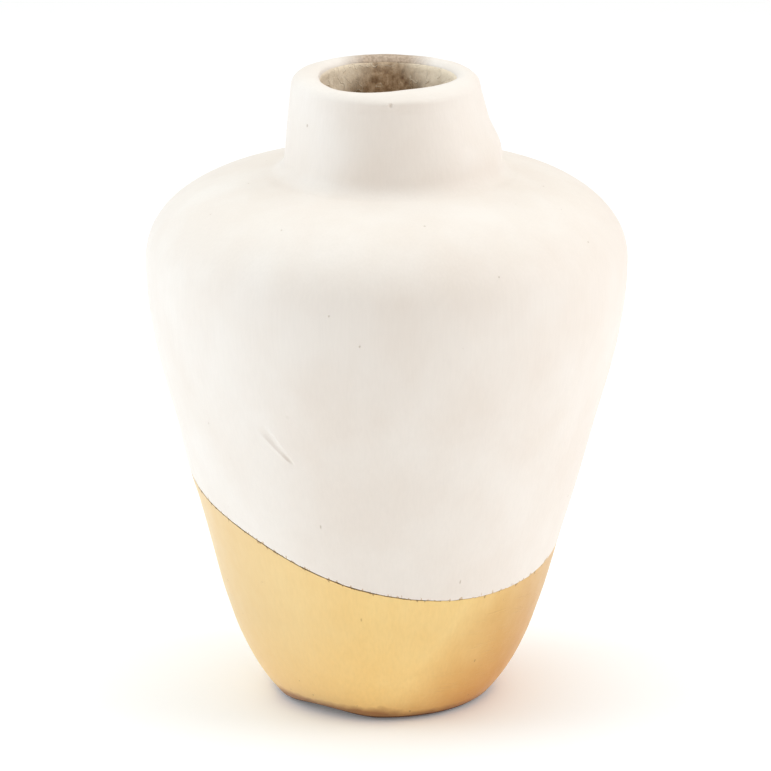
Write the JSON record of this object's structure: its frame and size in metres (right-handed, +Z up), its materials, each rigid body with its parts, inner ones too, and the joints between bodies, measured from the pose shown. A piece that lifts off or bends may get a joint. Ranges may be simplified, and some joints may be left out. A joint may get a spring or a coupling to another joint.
{
  "type": "vase",
  "caption": "Broad-shouldered, hand-carved wooden vase with a short neck and a bored well, matt white above a slanted line and satin gold below it.",
  "frame": {"origin": "middle of the foot, on the surface that the vase stands on", "axes": "+Z up along the axis of the belly and the well; -Y is the front, where the gouge is; the gold rises highest at the back left, between -X and +Y"},
  "size_m": [0.114, 0.114, 0.152],
  "materials": {
    "bare_wood": "raw, coarse, unsealed",
    "white_paint": "matt paint film over wood grain",
    "gold_paint": "satin metallic gold paint film"
  },
  "bodies": {
    "root": {"wooden_body": "bare_wood", "white_paint": "white_paint", "gold_paint": "gold_paint"}
  },
  "joints": []
}
